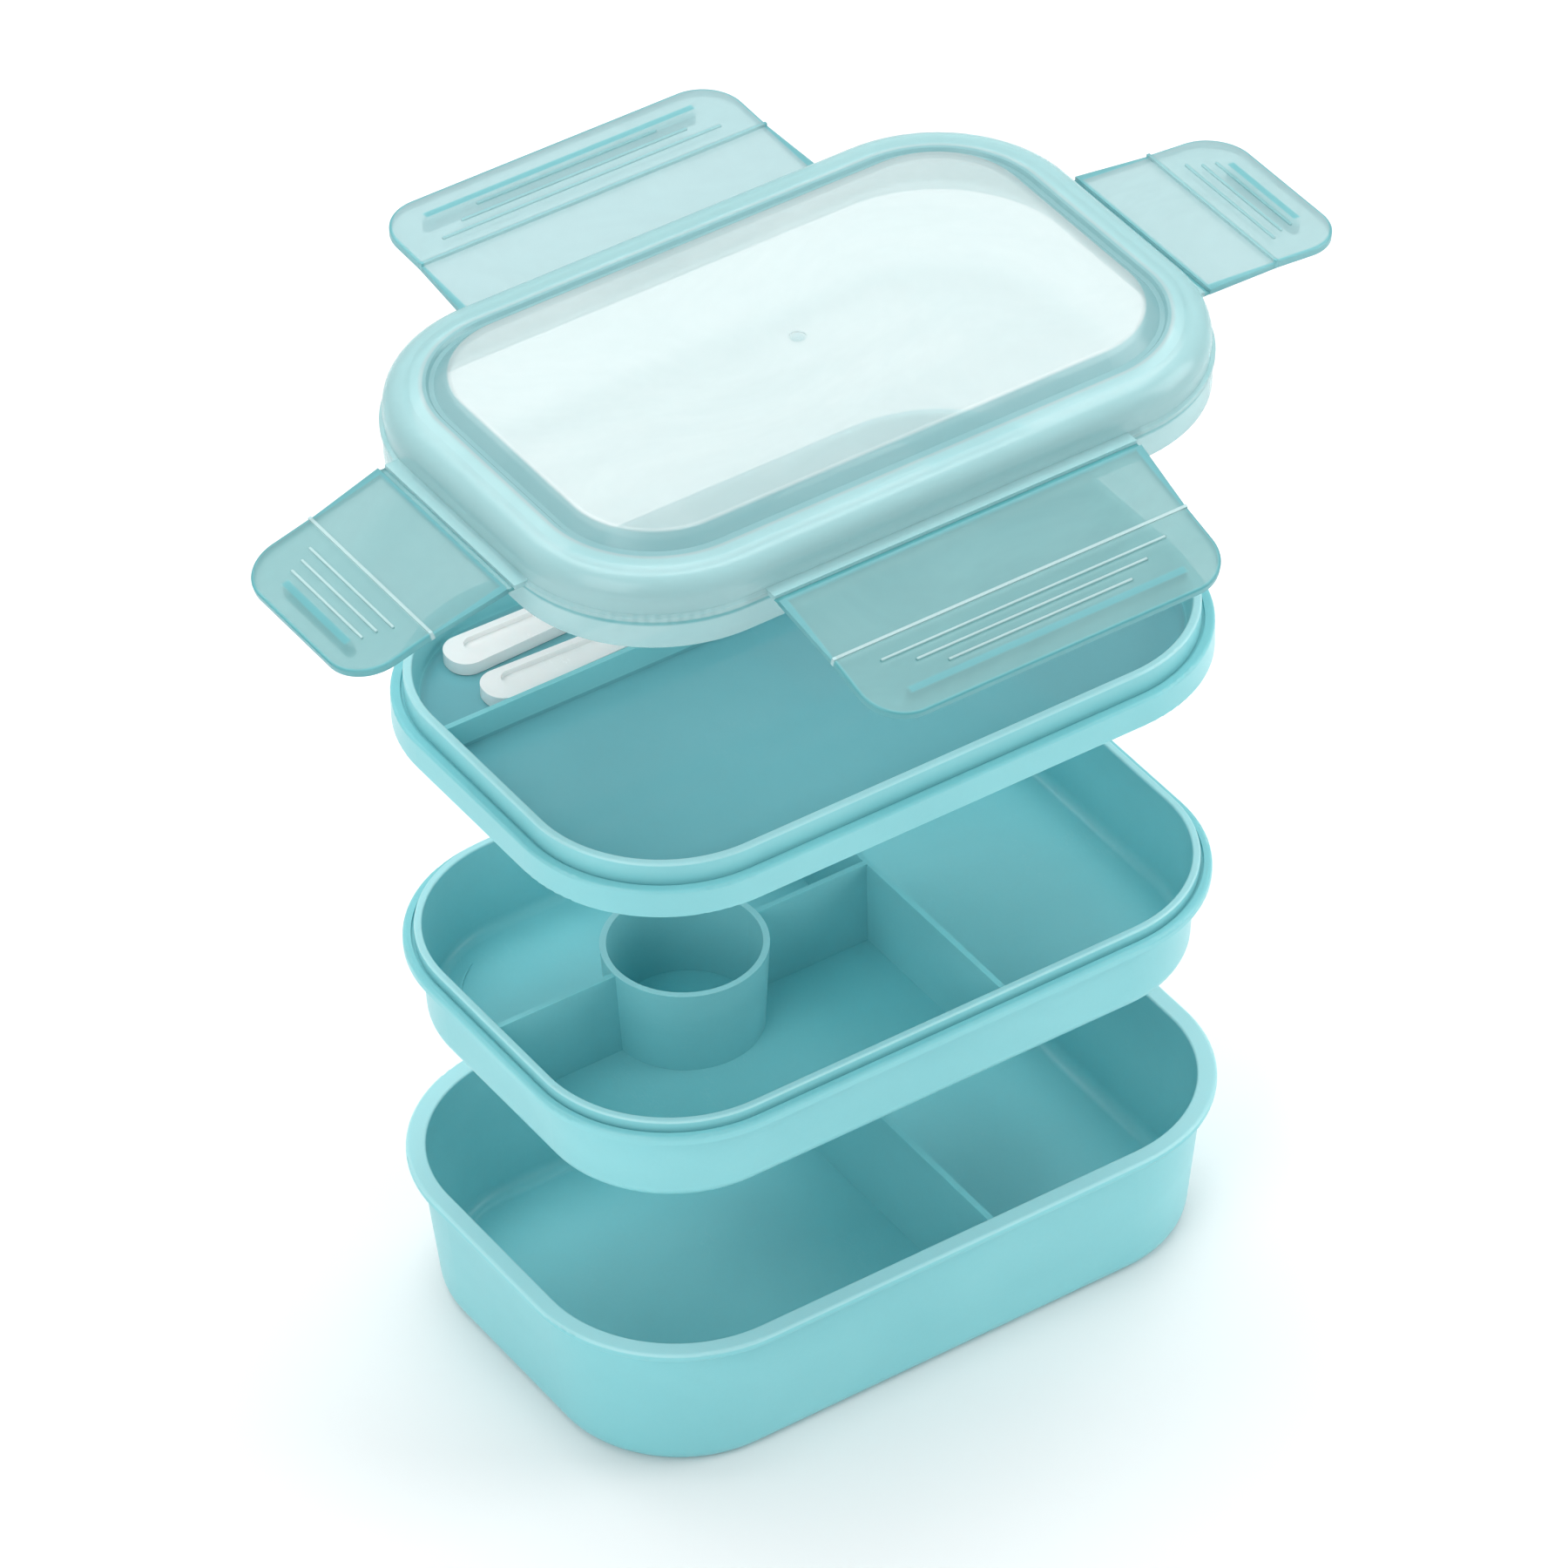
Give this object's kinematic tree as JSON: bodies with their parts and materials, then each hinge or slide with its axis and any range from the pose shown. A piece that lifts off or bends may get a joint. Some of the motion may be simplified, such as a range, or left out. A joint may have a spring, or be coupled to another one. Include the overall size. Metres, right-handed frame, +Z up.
{
  "type": "stacking lunch box",
  "caption": "Rounded rectangular lunch box with stacking trays, a sauce cup, cutlery and a clip-down translucent lid.",
  "frame": {"origin": "centre of the base container's underside", "axes": "+Z up, +X along the long side towards the smaller base compartment, -Y towards the front latch"},
  "size_m": [0.2992, 0.2312, 0.298],
  "materials": {
    "tray_plastic": "satin",
    "lid_plastic": "frosted, translucent",
    "seal_silicone": "matte",
    "cutlery_plastic": "gloss"
  },
  "bodies": {
    "base": {"base_container": "tray_plastic"},
    "middle": {"middle_tray": "tray_plastic"},
    "top": {"top_tray": "tray_plastic"},
    "lid": {"lid_shell": "lid_plastic", "lid_seal": "seal_silicone", "front_hinge_web": "lid_plastic", "rear_hinge_web": "lid_plastic", "left_hinge_web": "lid_plastic", "right_hinge_web": "lid_plastic"},
    "front_latch": {"front_latch": "lid_plastic"},
    "rear_latch": {"rear_latch": "lid_plastic"},
    "left_latch": {"left_latch": "lid_plastic"},
    "right_latch": {"right_latch": "lid_plastic"},
    "fork": {"fork": "cutlery_plastic"},
    "spoon": {"spoon": "cutlery_plastic"}
  },
  "joints": [
    {"name": "middle_tray_lift", "type": "slide", "parent": "base", "child": "middle", "axis": [0, 0, 1], "range_m": [-0.0559, 0]},
    {"name": "top_tray_lift", "type": "slide", "parent": "middle", "child": "top", "axis": [0, 0, 1], "range_m": [-0.0724, 0]},
    {"name": "lid_lift", "type": "slide", "parent": "top", "child": "lid", "axis": [0, 0, 1], "range_m": [-0.0758, 0]},
    {"name": "front_latch_hinge", "type": "hinge", "parent": "lid", "child": "front_latch", "pos_m": [0, -0.0702, 0.2837], "axis": [-1, 0, 0], "range_deg": [-75, 45], "deforming": ["front_hinge_web"]},
    {"name": "rear_latch_hinge", "type": "hinge", "parent": "lid", "child": "rear_latch", "pos_m": [0, 0.0702, 0.2837], "axis": [1, 0, 0], "range_deg": [-92, 28], "deforming": ["rear_hinge_web"]},
    {"name": "left_latch_hinge", "type": "hinge", "parent": "lid", "child": "left_latch", "pos_m": [-0.1042, 0, 0.2837], "axis": [0, 1, 0], "range_deg": [-75, 45], "deforming": ["left_hinge_web"]},
    {"name": "right_latch_hinge", "type": "hinge", "parent": "lid", "child": "right_latch", "pos_m": [0.1042, 0, 0.2837], "axis": [0, -1, 0], "range_deg": [-85, 35], "deforming": ["right_hinge_web"]},
    {"name": "fork_lift", "type": "slide", "parent": "top", "child": "fork", "axis": [0, 0, 1], "range_m": [0, 0.012]},
    {"name": "spoon_lift", "type": "slide", "parent": "top", "child": "spoon", "axis": [0, 0, 1], "range_m": [0, 0.012]}
  ]
}
